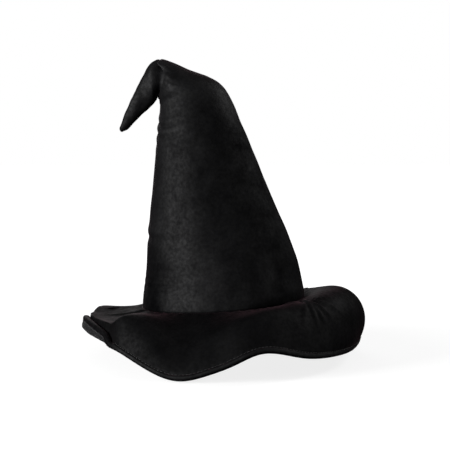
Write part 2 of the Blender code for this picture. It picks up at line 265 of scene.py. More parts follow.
BRIM_SMOOTHING = 4.0  # degrees
LINE_STEPS = np.linspace(0.0, 1.0, 61)[:, None, None]
HALVINGS = 32

# At the left the brim's edge is turned up like a cuff: how far and at what radius it turns,
# and the directions, above level, in which the cloth comes down to it and leaves the crown.
CUFF_TURN, CUFF_RADIUS = math.radians(178.0), 1.25
CUFF_ARRIVAL = math.radians(-70.0)
CUFF_LEAVING = math.radians(-14.0)
CUFF_SLACK = 1.14  # the cloth between crown and turn, as a multiple of the straight distance
CUFF_TIGHTNESS = 0.6  # how much less the cloth swings out before the turn
# Where the turn starts: degrees round the crown, X, Y, Z from the middle of its base, and how
# much cloth stands up past the turn.
CUFF_LINE = np.array([
    (-212, -143, 68, -48, 2),
    (-200, -152, 45, -37, 5),
    (-188, -160.5, 14, -29, 9),
    (-172, -161.5, -21, -25, 11.5),
    (-165, -154, -49, -24.5, 11),
    (-157.5, -144, -76, -25, 9),
    (-150, -131, -95, -28, 6.5),
    (-144, -121, -107, -31, 4.5),
    (-138, -111, -119, -35.5, 3),
    (-132, -103, -130, -40, 2),
])
CUFF_MIDDLE = math.radians(-168.0)


def cuff_share(angles):
    """1 where the edge is fully turned up and 0 where it isn't turned."""
    away = np.degrees(turn_from(angles, CUFF_MIDDLE))
    return smoothstep(35.0, 17.0, away) * smoothstep(-34.0, -16.0, away)


def cuff_line(angles):
    """Where the turn starts, and how much cloth stands up past it."""
    away = np.degrees(turn_from(angles, CUFF_MIDDLE) + CUFF_MIDDLE)
    spots = rounded_off(values_at(away, CUFF_LINE[:, 0], CUFF_LINE[:, 1:]), BRIM_SMOOTHING)
    return spots[:, :3], spots[:, 3]


def cuff(line, share, stand, level):
    """A column of the brim with the turned-up cloth added at its end: a roll, and then cloth
    that stands straight, or lies back against the column where it is fully turned up."""
    if share == 0.0:
        return line
    ahead = unit(line[-1] - line[-2])
    over = np.array([0.0, 0.0, ahead @ level]) - ahead[2] * level
    turns = np.linspace(0.0, CUFF_TURN * share, 15)[1:, None]
    roll = line[-1] + CUFF_RADIUS * (np.sin(turns) * ahead + (1 - np.cos(turns)) * over)
    last = np.cos(turns[-1]) * ahead + np.sin(turns[-1]) * over
    steps = np.linspace(0.0, stand * share, 8)[1:]
    straight = roll[-1] + steps[:, None] * last
    place = lengths_along(line)
    back = values_at(place[-1] - steps, place, line)
    slope = back - values_at(place[-1] - steps - 1, place, line)
    outward = np.stack([np.zeros(len(steps))] * 2 + [slope @ level], axis=-1) - slope[:, 2:] * level
    hugging = back + 2 * CUFF_RADIUS * outward
    return np.vstack([line, roll, straight + (hugging - straight) * share**2])


def lines_out(starts, ends, first, last, held, room):
    """Curves from the crown to the edge, in the first and last directions there, each as long
    as its room. held is how much of the swing at the crown there is at the edge."""
    low, high = np.zeros((len(ends), 1)), np.full((len(ends), 1), 2 * BRIM_WIDTH)
    for _ in range(HALVINGS):
        pull = (low + high) / 2
        lines = bezier(starts, starts + pull * first, ends - pull * held * last, ends, LINE_STEPS)
        lengths = np.linalg.norm(np.diff(lines, axis=0), axis=-1).sum(axis=0)
        short = (lengths < room)[:, None]
        low, high = np.where(short, pull, low), np.where(short, high, pull)
    return lines


def brim_surface(rows):
    """Points on the brim's upper face: a ring for each row, in millimetres from the crown."""
    places = BRIM_ANGLES / (2 * math.pi) * len(BRIM_EDGE)
    edge = rounded_off(spline(BRIM_EDGE, places, closed=True), BRIM_SMOOTHING)
    ends, widths = edge[:, :3], edge[:, 5] * BRIM_WIDTH
    leaving, arriving = np.radians(edge[:, 3:4]), np.radians(edge[:, 4:5])
    turned = cuff_share(BRIM_ANGLES)[:, None]
    arriving = arriving + (CUFF_ARRIVAL - arriving) * turned
    leaving = leaving + (CUFF_LEAVING - leaving) * turned
    turns, stands = cuff_line(BRIM_ANGLES)
    ends = ends + (turns - ends) * turned
    starts = seam_line(BRIM_ANGLES, BRIM_START)
    level = unit((ends - starts) * (1, 1, 0))
    up = np.array([[0.0, 0.0, 1.0]])
    room = widths - BRIM_START
    room += (CUFF_SLACK * np.linalg.norm(ends - starts, axis=1) - room) * turned[:, 0]
    first = level * np.cos(leaving) + up * np.sin(leaving)
    last = level * np.cos(arriving) + up * np.sin(arriving)
    lines = lines_out(starts, ends, first, last, 1 - CUFF_TIGHTNESS * turned, room)
    outward = unit(starts - seam_line(BRIM_ANGLES, BRIM_START - 10.0))
    surface = np.empty((len(rows), BRIM_AROUND, 3))
    for i in range(BRIM_AROUND):
        line = cuff(lines[:, i], turned[i, 0], stands[i], level[i])
        place = lengths_along(line)
        at = np.asarray(rows) * widths[i] / BRIM_WIDTH * place[-1] / (widths[i] - BRIM_START)
        surface[:, i] = values_at(at, place, line)
        surface[:, i] += np.minimum(at, 0.0)[:, None] * outward[i]
        surface[:, i] += np.maximum(at - place[-1], 0.0)[:, None] * unit(line[-1] - line[-2])
    return CROWN_BASE + surface


# --- making objects ------------------------------------------------------------------------


def linked(obj):
    bpy.context.scene.collection.objects.link(obj)
    return obj


def mesh_object(name, points, faces, uvs=None, smooth=True):
    """An object with a mesh from points in millimetres, which it keeps as the attribute rest."""
    mesh = bpy.data.meshes.new(name)
    mesh.from_pydata((points * MM).tolist(), [], faces)
    if uvs is not None:
        layer = mesh.uv_layers.new(name="UVMap")
        layer.data.foreach_set("uv", np.asarray(uvs, np.float32).ravel())
    mesh.validate()
    rest = mesh.attributes.new("rest", "FLOAT_VECTOR", "POINT")
    rest.data.foreach_set("vector", (points * MM).astype(np.float32).ravel())
    if smooth:
        mesh.shade_smooth()
    return linked(bpy.data.objects.new(name, mesh))


def ring_mesh(name, rings, cap=False, closed_section=False, wear_and_painted_light=None):
    """A closed-round surface through rings of points, from the lowest up. Its UVs are metres of
    cloth: round the ring and along the columns. cap closes the last ring with a point, and
    closed_section joins the last ring to the first."""
    count, around = rings.shape[:2]
    points = rings.reshape(-1, 3)
    girth = np.linalg.norm(np.roll(rings, -1, axis=1) - rings, axis=-1).mean() * around
    heights = lengths_along(rings.transpose(0, 2, 1).reshape(count, -1)) / math.sqrt(around)
    heights = np.append(heights, heights[-1] + 1.0)
    i, j = np.arange(around), (np.arange(around) + 1) % around
    rows = np.arange(count if closed_section else count - 1)[:, None]
    low, high = rows * around, (rows + 1) % count * around
    faces = np.stack([low + i, low + j, high + j, high + i], axis=-1).reshape(-1, 4).tolist()
    u = np.stack([i, i + 1, i + 1, i], axis=-1) / around * girth + 0 * rows[..., None]
    v = heights[np.stack([rows, rows, rows + 1, rows + 1], axis=-1)] + 0 * u
    uvs = (np.stack([u, v], axis=-1) * MM).reshape(-1, 2).tolist()
    if cap:
        points = np.vstack([points, rings[-1].mean(axis=0)])
        top = (count - 1) * around
        faces += [(top + a, top + b, len(points) - 1) for a, b in zip(i.tolist(), j.tolist())]
        uvs += [(0.0, heights[-2] * MM)] * (3 * around)
    obj = mesh_object(name, points, faces, uvs)
    if wear_and_painted_light is not None:
        values = np.append(wear_and_painted_light.ravel(), np.zeros(len(points) - wear_and_painted_light.size)).astype(np.float32)
        obj.data.attributes.new("wear_and_painted_light", "FLOAT", "POINT").data.foreach_set("value", values)
    return obj


def thicken(obj, thickness):
    """Gives cloth its thickness, inward from the face that it is drawn by."""
    solidify = obj.modifiers.new("Thickness", "SOLIDIFY")
    solidify.thickness, solidify.offset = thickness * MM, -1.0
    return obj


def close_ends(obj):
    """Fills an object's open rims."""
    bm = bmesh.new()
    bm.from_mesh(obj.data)
    bmesh.ops.holes_fill(bm, edges=bm.edges)
    bm.to_mesh(obj.data)
    bm.free()


def tube_faces(first, rings, sides):
    """The faces of a tube with closed ends, made of rings of points that count up from first."""
    faces = []
    for low in range(first, first + (rings - 1) * sides, sides):
        for i in range(sides):
            j = (i + 1) % sides
            faces.append((low + i, low + j, low + sides + j, low + sides + i))
    last = first + (rings - 1) * sides
    return faces + [tuple(range(first, first + sides))[::-1], tuple(range(last, last + sides))]


def tube_mesh(name, line, radius, sides):
    """A round tube along a line of points."""
    ahead = np.roll(line, -1, axis=0) - np.roll(line, 1, axis=0)
    ahead[0], ahead[-1] = line[1] - line[0], line[-1] - line[-2]
    ahead = unit(ahead)
    side = unit(np.cross(ahead, (0.0, 0.0, 1.0)))
    up = np.cross(side, ahead)
    turns = steps_round(sides)[:, None, None]
    points = (line + radius * (np.cos(turns) * side + np.sin(turns) * up)).transpose(1, 0, 2)
    faces = [face[::-1] for face in tube_faces(0, len(line), sides)]
    return mesh_object(name, points.reshape(-1, 3), faces)


def stitch_row(name, line, ups, pitch, length, radius):
    """Separate stitches of thread round a line, each bowed up off the cloth with sunken ends."""
    line, ups = np.vstack([line, line[:1]]), np.vstack([ups, ups[:1]])
    places = lengths_along(line)
    count = int(places[-1] / pitch)
    along = np.linspace(0.0, 1.0, STITCH_RINGS)
    bow = np.sin(along * math.pi)[:, None] * (STITCH_RISE + 0.5 * radius) - 0.5 * radius
    thick = radius * np.sqrt(np.sin(math.pi * (0.06 + 0.88 * along)))[:, None, None]
    turns = steps_round(STITCH_SIDES)[:, None]
    points, faces = [], []
    for start in np.arange(count) * places[-1] / count:
        spots = start + along * length
        centre, up = values_at(spots, places, line), unit(values_at(spots, places, ups))
        side = np.cross(unit(centre[-1] - centre[0]), up)
        rim = np.cos(turns) * side[:, None] + np.sin(turns) * up[:, None]
        faces += tube_faces(len(points) * STITCH_RINGS * STITCH_SIDES, STITCH_RINGS, STITCH_SIDES)
        points.append(((centre + up * bow)[:, None] + thick * rim).reshape(-1, 3))
    return mesh_object(name, np.vstack(points), faces)


# --- materials -----------------------------------------------------------------------------


class Nodes:
    """A material's node tree, with short ways to add to it."""

    def __init__(self, name):
        self.material = bpy.data.materials.new(name)
        self.material.use_nodes = True
        self.tree = self.material.node_tree
        self.shader = self.tree.nodes["Principled BSDF"]

    def add(self, kind, **values):
        """A node, with its inputs set from values or linked from sockets."""
        node = self.tree.nodes.new(kind)
        for key, value in values.items():
            if key.replace("_", " ") in node.inputs:
                self.fill(node.inputs[key.replace("_", " ")], value)
            else:
                setattr(node, key, value)
        return node

    def fill(self, socket, value):
        """Links an input to another socket, or gives it a plain value."""
        if isinstance(value, bpy.types.NodeSocket):
            self.tree.links.new(value, socket)
        else:
            socket.default_value = value

    def surface(self, **values):
        """Sets inputs of the material's shader."""
        for key, value in values.items():
            self.fill(self.shader.inputs[key.replace("_", " ")], value)

    def math(self, operation, first, second, clamp=False):
        node = self.tree.nodes.new("ShaderNodeMath")
        node.operation, node.use_clamp = operation, clamp
        self.fill(node.inputs[0], first)
        self.fill(node.inputs[1], second)
        return node.outputs[0]

    def times(self, first, second):
        return self.math("MULTIPLY", first, second)

    def cloth_place(self, across, along, turned=0.0):
        """The place on the cloth, in repeats per metre across and along it."""
        uv = self.add("ShaderNodeUVMap").outputs["UV"]
        spin = (0.0, 0.0, math.radians(turned))
        sizes = (across, along, 1.0)
        return self.add("ShaderNodeMapping", Vector=uv, Rotation=spin, Scale=sizes).outputs["Vector"]

    def rest_place(self, scale):
        """The place on the piece as it is at rest, in repeats per metre."""
        rest = self.add("ShaderNodeAttribute", attribute_name="rest").outputs["Vector"]
        return self.add("ShaderNodeMapping", Vector=rest, Scale=(scale,) * 3).outputs["Vector"]

    def noise(self, place, detail=3.0, low=0.0, high=1.0):
        """Noise with features one unit of place across, spread from low to high."""
        made = self.add("ShaderNodeTexNoise", Vector=place, Scale=1.0, Detail=detail, Roughness=0.55)
        return self.spread(made.outputs["Fac"], 0.32, 0.68, low, high)

    def spread(self, value, from_low, from_high, low, high):
        ends = {"From_Min": from_low, "From_Max": from_high, "To_Min": low, "To_Max": high}
        return self.add("ShaderNodeMapRange", Value=value, **ends).outputs["Result"]

    def mix(self, share, first, second):
        node = self.tree.nodes.new("ShaderNodeMix")
        node.data_type = "RGBA"
        for key, value in (("Factor", share), ("A", first), ("B", second)):
            self.fill([s for s in node.inputs if s.name == key and s.enabled][0], value)
        return [s for s in node.outputs if s.enabled][0]

    def bump(self, height, distance, **below):
        """The normal over a height, in millimetres, on top of another bump's Normal."""
        node = self.add("ShaderNodeBump", Height=height, Distance=distance * MM, **below)
        return node.outputs["Normal"]


    def colour(self, tone, shade, dark, light, share=None):
        """Colours the shader from one multiple of a shade to another, by the tone's share."""
        if share is not None:
            tone = self.math("MULTIPLY", tone, share, clamp=True)
        ends = [[c * multiple for c in shade] + [1.0] for multiple in (dark, light)]
        self.surface(Base_Color=self.mix(tone, *ends))


def velvet(name, shade, sheen, gloss):
    """Short black pile: dark face on, with a broad soft gloss where it is pressed one way and
    a sheen at grazing angles, both broken up by the lie of the nap; lighter where rubbed, and lighter
    or darker where shade and highlights are painted on."""
    m = Nodes(name)
    patches = m.noise(m.rest_place(42), 4.0, 0.74, 1.26)
    flecks = m.noise(m.rest_place(260), 3.0, 0.76, 1.24)
    # The attribute holds each piece's wear together with its painted shade and highlights.
    wear_and_painted_light = m.times(m.add("ShaderNodeAttribute", attribute_name="wear_and_painted_light").outputs["Fac"], flecks)
    nap = m.math("ADD", m.times(patches, flecks), m.times(wear_and_painted_light, 1.1))
    pile = m.noise(m.rest_place(1300), 2.0)
    lie = m.noise(m.rest_place(80), 4.0)
    m.colour(nap, shade, 0.5, 1.9, share=0.42)
    m.surface(Roughness=m.spread(flecks, 0.78, 1.22, 0.66, 0.58))
    m.surface(Normal=m.bump(pile, 0.05, Normal=m.bump(lie, 0.14)))
    m.surface(Sheen_Weight=m.times(nap, sheen), Sheen_Roughness=0.28)
    m.surface(Sheen_Tint=(1.0, 0.5, 0.62, 1.0), Specular_IOR_Level=m.times(nap, gloss))
    return m.material


def twill(name, shade, sheen):
    """A close diagonal weave, brushed on its face."""
    m = Nodes(name)
    ribs = m.add("ShaderNodeTexWave", Vector=m.cloth_place(900, 900, 38.0), Scale=0.35, Distortion=1.2)
    ribs.inputs["Detail"].default_value = 2.0
    weave = m.spread(ribs.outputs["Fac"], 0.0, 1.0, 0.55, 1.35)
    patches = m.noise(m.cloth_place(60, 60), 4.0, 0.7, 1.3)
    nap = m.times(weave, patches)
    fuzz = m.noise(m.cloth_place(1600, 1600), 2.0)
    m.colour(nap, shade, 0.5, 1.9, share=0.5)
    m.surface(Normal=m.bump(fuzz, 0.25, Normal=m.bump(ribs.outputs["Fac"], 0.35)))
    m.surface(Roughness=0.85, Sheen_Weight=m.times(nap, sheen), Sheen_Roughness=0.4)
    m.surface(Specular_IOR_Level=0.1)
    return m.material


def satin(name, shade):
    """Lining with a fine weave and a soft gloss along its threads."""
    m = Nodes(name)
    threads = m.noise(m.cloth_place(3200, 500), 2.0)
    creases = m.noise(m.cloth_place(45, 20), 4.0)
    tone = m.times(m.noise(m.cloth_place(70, 25), 3.0, 0.6, 1.4), m.spread(threads, 0, 1, 0.8, 1.2))
    m.colour(tone, shade, 0.6, 1.7, share=0.5)
    m.surface(Roughness=m.spread(threads, 0.0, 1.0, 0.3, 0.48), Anisotropic=0.5)
    m.surface(Normal=m.bump(threads, 0.08, Normal=m.bump(creases, 0.8)), Specular_IOR_Level=0.4)
    return m.material


def ribbed(name, shade):
    """Grosgrain ribbon: fine ribs across its length."""
    m = Nodes(name)
    ribs = m.add("ShaderNodeTexWave", Vector=m.cloth_place(900, 0.0), Scale=0.32, Distortion=0.15)
    ribs = ribs.outputs["Fac"]
    tone = m.times(m.spread(ribs, 0, 1, 0.6, 1.4), m.noise(m.cloth_place(90, 200), 3.0, 0.8, 1.2))
    m.colour(tone, shade, 0.5, 1.8, share=0.5)
    m.surface(Roughness=0.55, Normal=m.bump(ribs, 0.4), Specular_IOR_Level=0.3, Sheen_Weight=0.08)
    return m.material


def plied(name, shade):
    """Twisted sewing thread."""
    m = Nodes(name)
    twist = m.add("ShaderNodeTexWave", Vector=m.rest_place(1000), Scale=0.9, bands_direction="DIAGONAL")
    m.fill(twist.inputs["Distortion"], 0.6)
    twist = twist.outputs["Fac"]
    tone = m.times(m.spread(twist, 0, 1, 0.5, 1.2), m.noise(m.rest_place(300), 2.0, 0.7, 1.2))
    m.colour(tone, shade, 0.6, 2.0, share=0.6)
    m.surface(Roughness=0.5, Normal=m.bump(twist, 0.15), Specular_IOR_Level=0.3, Sheen_Weight=0.1)
    return m.material


def foam(name, shade):
    """Open-cell padding."""
    m = Nodes(name)
    cells = m.add("ShaderNodeTexVoronoi", Vector=m.rest_place(1400), Scale=1.0)
    tone = m.spread(cells.outputs["Distance"], 0.0, 0.8, 0.3, 1.0)
    m.colour(tone, shade, 0.5, 1.5)
    m.surface(Roughness=0.95, Specular_IOR_Level=0.1)
    m.surface(Normal=m.bump(cells.outputs["Distance"], 0.3))
    return m.material


def woven_tape(name, shade):
    """The blank size label: plain weave."""
    m = Nodes(name)
    place = m.rest_place(1000)
    over = m.add("ShaderNodeTexWave", Vector=place, Scale=0.7, bands_direction="X").outputs["Fac"]
    under = m.add("ShaderNodeTexWave", Vector=place, Scale=0.7, bands_direction="Z").outputs["Fac"]
    weave = m.times(over, under)
    soiled = m.noise(m.rest_place(120), 4.0, 0.0, 1.0)
    tone = m.times(m.spread(weave, 0, 1, 0.6, 1.0), m.spread(soiled, 0, 1, 0.8, 1.0))
    m.colour(tone, shade, 0.5, 1.0)
    m.surface(Roughness=0.7, Normal=m.bump(weave, 0.12), Sheen_Weight=0.1)
    return m.material


def wire_steel(name, shade):
    """Drawn wire: fine scratches along it and dull spots."""
    m = Nodes(name)
    scratches = m.noise(m.rest_place(2500), 2.0)
    dull = m.noise(m.rest_place(160), 4.0, 0.25, 0.5)
    m.colour(scratches, shade, 0.7, 1.0)
    m.surface(Metallic=1.0, Roughness=dull, Normal=m.bump(scratches, 0.03))
    return m.material


FLOOR_GLOW = (0.82, 1.02)  # near the hat, and from the end of GLOW_REACH on
GLOW_REACH = (0.25, 0.75)  # metres from the middle


def page(name, shade):
    """The studio's floor: pale and even, and bright of its own, which keeps it plain white."""
    m = Nodes(name)
    grain = m.noise(m.rest_place(6), 3.0, 0.97, 1.0)
    m.colour(grain, shade, 0.96, 1.0)
    m.surface(Roughness=0.9, Specular_IOR_Level=0.05)
    away = m.add("ShaderNodeVectorMath", Vector=m.rest_place(1.0), operation="LENGTH")
    glow = m.spread(away.outputs["Value"], *GLOW_REACH, *FLOOR_GLOW)
    m.surface(Emission_Color=(1.0, 1.0, 1.0, 1.0), Emission_Strength=glow)
    return m.material


SHEEN, GLOSS = 0.055, 0.125
COLOURS = {slot["slot"]: slot["base_color"] for slot in frame["record"]["materials"]}


def dimmed(slot, share):
    return [c * share for c in COLOURS[slot]]


materials = {
    "velvet": velvet("velvet", dimmed("velvet", 0.35), SHEEN, GLOSS),
    # Painted shade: a darker copy of the velvet, with less sheen and gloss, for the brim and its hem.
    "brim_velvet_shaded": velvet("brim_velvet_shaded", dimmed("velvet", 0.22), SHEEN * 0.55, GLOSS * 0.5),
    "under_velvet": twill("under_velvet", dimmed("under_velvet", 0.7), 0.1),
}
PLAIN = {"foam": foam, "lining": satin, "ribbon": ribbed, "thread": plied}
PLAIN |= {"label": woven_tape, "steel": wire_steel}
materials |= {name: make(name, COLOURS[name]) for name, make in PLAIN.items()}


def finish_piece(obj, slot, *nodes, material=None, blended=False):
    """Gives a piece the material of its slot, or the one named, hides the CAD nodes that it stands
    for, and puts it on the hat's base unless blended is set."""
    obj.data.materials.append(materials[material or slot])
    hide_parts(*nodes)
    if not blended:
        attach(obj, "hat_base")


# --- the crown -----------------------------------------------------------------------------

FRONT = -math.pi / 2
BACK = math.pi / 2
LIP_RADIUS, LIP_TUCK = 1.7, 5.0
LIP_TURNS = [22, 45, 68, 90, 112, 135, 158, 180]  # degrees
LIP_SINK = 4.0, 2.8  # along the tip and into it, where the cloth runs on
LIP_SMOOTHING = 9.0  # degrees


def running_on(angles):
    """1 where the cloth of the crown runs on into the tip, along the top line and in the fold
    below it, and 0 at the sides, where it turns in round the tip as a lip."""
    return smoothstep(0.72, 0.97, np.cos(angles)) + 0.85 * smoothstep(-0.8, -0.97, np.cos(angles))


def lip_station(angles):
    """Where the crown's cloth turns in round the root of the tip."""
    front = bump(turn_from(angles, FRONT), 0.0, 0.9)
    forward = bump(turn_from(angles, math.radians(-38.0)), 0.0, 0.33)
    return CREST - 0.28 * front + 0.34 * forward - 0.06 * (1 - np.cos(angles)) / 2


def crown_relief(stations, angles, points):
    """How far the crown's cloth stands off the plain cone, in millimetres."""
    length = np.interp(np.clip(stations, 0, TIP_END), FINE_STATIONS, FINE_LENGTHS)
    height = points[..., 2] - CROWN_BASE[2]
    calm = smoothstep(0.0, 25.0, length)
    relief = calm * (1.3 * soft_noise(points, 74.0, 1) + 0.75 * soft_noise(points, 31.0, 2))
    relief += calm * 0.28 * soft_noise(points * (1.0, 1.0, 0.45), 11.0, 3)
    # The back seam is a fine valley between two pressed-open allowances.
    back = np.abs(turn_from(angles, BACK)) * 60.0
    relief += 0.5 * bump(back, 3.6, 2.6) - 0.9 * bump(back, 0.0, 0.9)
    # The seam on the brim draws the cloth in, with small puckers above it.
    pucker = np.sin(angles * 43 + 2.1 * np.sin(angles * 5)) * (1 + 0.4 * np.sin(angles * 7))
    relief += 0.2 * pucker * np.exp(-length / 8.0) - 1.0 * np.exp(-length / 2.2)
    # Sideways creases low on the left, and the kink above them.
    left = bump(turn_from(angles, math.radians(-150)), 0.0, 0.42)
    ripples = np.sin(height / 8.5 * 2 * math.pi + 1.6 * np.sin(angles * 6))
    relief += 0.8 * left * ripples * bump(height, 25.0, 13.0)
    kink = bump(turn_from(angles, math.radians(-168)), 0.0, 0.6)
    relief += kink * (-1.5 * bump(height, 78.0, 4.5) + 0.9 * bump(height, 86.0, 6.0))
    # The cloth gathers under the shoulder, on the side that it leans to.
    lean = bump(turn_from(angles, math.pi), 0.0, 1.1)
    folds = np.sin((height + 9 * np.sin(angles * 2.0 + 0.5)) / 13.0 * 2 * math.pi)
    relief += 0.9 * lean * folds * bump(height, 207.0, 20.0)
    # Drag lines run from the lip back along the bend.
    drag = np.sin(angles * 19 + 1.3 * np.sin(angles * 4 + 1.0))
    near_lip = 0.3 + 0.7 * bump(turn_from(angles, FRONT), 0.3, 1.0)
    near_lip = near_lip * smoothstep(7.3, 8.9, stations)
    relief += 0.3 * drag * near_lip
    # It lies plain where it runs on into the tip, and in the tight fold under the bend.
    relief *= 1 - smoothstep(8.0, 8.8, stations) * np.minimum(running_on(angles), 1.0)
    relief *= 1 - smoothstep(206.0, 236.0, height) * smoothstep(0.1, -0.6, np.cos(angles))
    return relief


def painted_shading(stations, angles, height):
    """Painted shade and highlights on the crown's pile, in patches: lighter above 0, darker below 0."""

    def patch(middle, spread):
        return bump(turn_from(angles, math.radians(middle)), 0.0, math.radians(spread))

    pile = -0.3 * patch(-106.0, 27.0) * smoothstep(55.0, 120.0, height)
    pile *= smoothstep(262.0, 225.0, height)
    pile -= 0.5 * patch(-38.0, 40.0) * smoothstep(250.0, 190.0, height)
    pile -= 0.6 * patch(-148.0, 20.0) * smoothstep(80.0, 40.0, height)
    pile += 0.04 * patch(-122.0, 20.0) * bump(height, 48.0, 30.0)
    pile += 0.5 * patch(-22.0, 26.0) * bump(stations, 5.7, 1.0)
    return pile


def lip_rings(rings, angles):
    """The end of the crown's velvet: rings that roll in round the tip's root, or sink into it
    where the cloth runs on, and rings of cloth tucked back inside."""
    normal = unit(rounded_off(normals_of(rings)[-1], LIP_SMOOTHING))
    ahead = unit(rounded_off(unit(rings[-1] - rings[-3]), LIP_SMOOTHING))
    run_on = np.minimum(running_on(angles), 1.0)[:, None]
    below = smoothstep(0.3, -0.5, np.cos(angles))[:, None]  # the wall turns away there
    lip, tucks = [], []
    for turn in np.radians(LIP_TURNS):
        rolled = LIP_RADIUS * (math.sin(turn) * ahead - (1 - math.cos(turn)) * normal)
        share = turn / math.pi
        sunk = LIP_SINK[0] * share * (1 - 0.8 * below) * ahead - LIP_SINK[1] * share**2 * normal
        lip.append(rings[-1] + rolled + (sunk - rolled) * run_on)
    for depth in np.linspace(0.9, LIP_TUCK, 5):
        back = -ahead * depth * (1 - 0.8 * below) - 0.05 * depth * normal
        on = 0.2 * depth * (1 - below) * ahead - 0.25 * depth * normal
        tucks.append(lip[-1] + back + (on - back) * run_on)
    return lip, tucks


def crown_cloth_rings():
    """The crown's velvet, from the brim to the lip and its tuck, with its wear and its painted shade
    and highlights.
    """
    angles = BACK + steps_round(CROWN_AROUND)
    stations = even_stations(0.0, CREST, CROWN_ROWS)[:, None] + 0 * angles
    stations += (lip_station(angles) - CREST) * smoothstep(7.2, CREST, stations)
    stations[0] -= 0.02  # into the seam
    plain = crown_surface(stations, angles)
    relief = crown_relief(stations, angles, plain)
    rings = plain + normals_of(plain) * relief[..., None]
    lip, tucks = lip_rings(rings, angles)
    wear_and_painted_light = 0.35 * smoothstep(0.5, 1.4, relief) * smoothstep(0.0, 1.0, stations)
    wear_and_painted_light += 0.35 * bump(stations, CREST, 0.25)
    # Painted shade and highlights, in patches over the crown, added to the wear.
    wear_and_painted_light += painted_shading(stations, angles, plain[..., 2] - CROWN_BASE[2])
    more = [np.full((len(lip), CROWN_AROUND), 0.8), np.zeros((len(tucks), CROWN_AROUND))]
    return np.concatenate([rings, lip, tucks]), np.vstack([wear_and_painted_light, *more])


def shoulder_blend(obj):
    """Cloth that crosses the shoulder: bakes its transform into its mesh."""
    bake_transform(obj)


def crest_blend(obj):
    """Cloth that crosses the crest: bakes its transform into its mesh."""
    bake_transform(obj)


# The layers inside the crown's velvet run from LAYER_START to these stations. The lining is
# closed there by rings, each with its size and how far ahead it is.
LAYER_START, PADDING_END, LINING_END = 0.05, 8.2, 8.1
LINING_CLOSING = [(0.8, 1.6), (0.55, 2.8), (0.3, 2.6), (0.1, 0.8)]
LINING_CREASES = 0.5


def crown_layer(last, depth, creases=0.0):
    """Rings of a layer at a depth inside the crown's velvet."""
    angles = BACK + steps_round(CROWN_AROUND // 2)
    stations = even_stations(LAYER_START, last, CROWN_ROWS // 2)[:, None] + 0 * angles
    plain = crown_surface(stations, angles)
    slack = 1 + soft_noise(plain * (1, 1, 0.3), 16.0, 7)
    depths = depth + creases * slack * smoothstep(0.3, 1.2, stations)
    depths -= creases * 0.6 * np.sin(angles * 24) * smoothstep(0.6, 0.0, stations)
    rings = plain + normals_of(plain) * crown_relief(stations, angles, plain)[..., None]
    return rings + unit(rings.mean(axis=1, keepdims=True) - rings) * depths[..., None]


def build_crown():
    rings, wear_and_painted_light = crown_cloth_rings()
    cloth = thicken(ring_mesh("crown_cloth", rings, wear_and_painted_light=wear_and_painted_light), VELVET)
    finish_piece(cloth, "velvet", "crown_velvet", "bend_velvet", blended=True)
    shoulder_blend(cloth)

    near, far = CROWN_PADDING
    padding = thicken(ring_mesh("crown_padding", crown_layer(PADDING_END, near)), far - near)
    finish_piece(padding, "foam", "crown_foam", "bend_foam", blended=True)
    shoulder_blend(padding)

    rings = crown_layer(LINING_END, CROWN_LINING, LINING_CREASES)
    middle = rings[-1].mean(axis=0)
    ahead = unit(middle - rings[-3].mean(axis=0))
    more = [middle + (rings[-1] - middle) * share + ahead * rise for share, rise in LINING_CLOSING]
    lining = ring_mesh("crown_lining_cloth", np.concatenate([rings, more]), cap=True)
    finish_piece(thicken(lining, LINING), "lining", "crown_lining", "bend_lining", blended=True)
    shoulder_blend(lining)


# --- the tip -------------------------------------------------------------------------------


# Where the tip's cloth and its padding start, in stations, and how the padding's root closes.
TIP_START, TIP_PADDING_START = 8.86, 9.45
TIP_PADDING_CLOSING = (0.02, 0.7)


def tip_rings(depth, first, around, rows):
    """The tip's surface at a depth inside the velvet, drawn in at its root, where it lies inside
    the lip, and closed to a blunt point."""
    angles = BACK + steps_round(around)
    stations = np.linspace(first, TIP_END, rows)[:, None] + 0 * angles
    plain = crown_surface(stations, angles)
    normal = normals_of(plain)
    inset = (0.35 + 5.2 * (1 - running_on(angles))) * smoothstep(10.1, 9.05, stations) + depth
    inset += 1.5 * running_on(angles) * smoothstep(9.35, 8.95, stations)
    calm = smoothstep(9.0, 9.8, stations)
    inset = inset - calm * (0.65 * soft_noise(plain, 17.0, 4) + 0.3 * soft_noise(plain, 7.0, 5))
    side = bump(turn_from(angles, FRONT), 0.0, 0.8) + bump(turn_from(angles, BACK), 0.0, 0.8)
    inset = inset + 0.9 * side * bump(stations, 11.2, 0.7) + 0.5 * side * bump(stations, 13.1, 0.5)
    rings = plain - normal * inset[..., None]
    middle = rings[-1].mean(axis=0)
    ahead = unit(middle - rings[-4].mean(axis=0))
    size = np.linalg.norm(rings[-1] - middle, axis=1).mean()
    closing = [
        middle + (rings[-1] - middle) * math.cos(t) + ahead * size * 0.9 * math.sin(t)
        for t in np.radians([20, 40, 60, 78])
    ]
    return np.concatenate([rings, closing])


def build_tip():
    cloth = ring_mesh("tip_cloth", tip_rings(0.0, TIP_START, TIP_AROUND, TIP_ROWS), cap=True)
    thicken(cloth, VELVET)
    finish_piece(cloth, "velvet", "tip_velvet", blended=True)
    crest_blend(cloth)

    rings = tip_rings(TIP_PADDING, TIP_PADDING_START, TIP_AROUND // 2, TIP_ROWS // 2)
    start = rings[0].mean(axis=0)
    root = [start + (rings[0] - start) * share for share in TIP_PADDING_CLOSING]
    core = ring_mesh("tip_padding", np.concatenate([root, rings]), cap=True)
    close_ends(core)
    finish_piece(core, "foam", "tip_foam", blended=True)
    crest_blend(core)


# --- the brim ------------------------------------------------------------------------------

HEM_ROW = 104.4  # where the sheets end, inside the hem
HEM_PUCKERS = np.sin(BRIM_ANGLES * 91 + 2.3 * np.sin(BRIM_ANGLES * 9))
HEM_DROP = 0.5

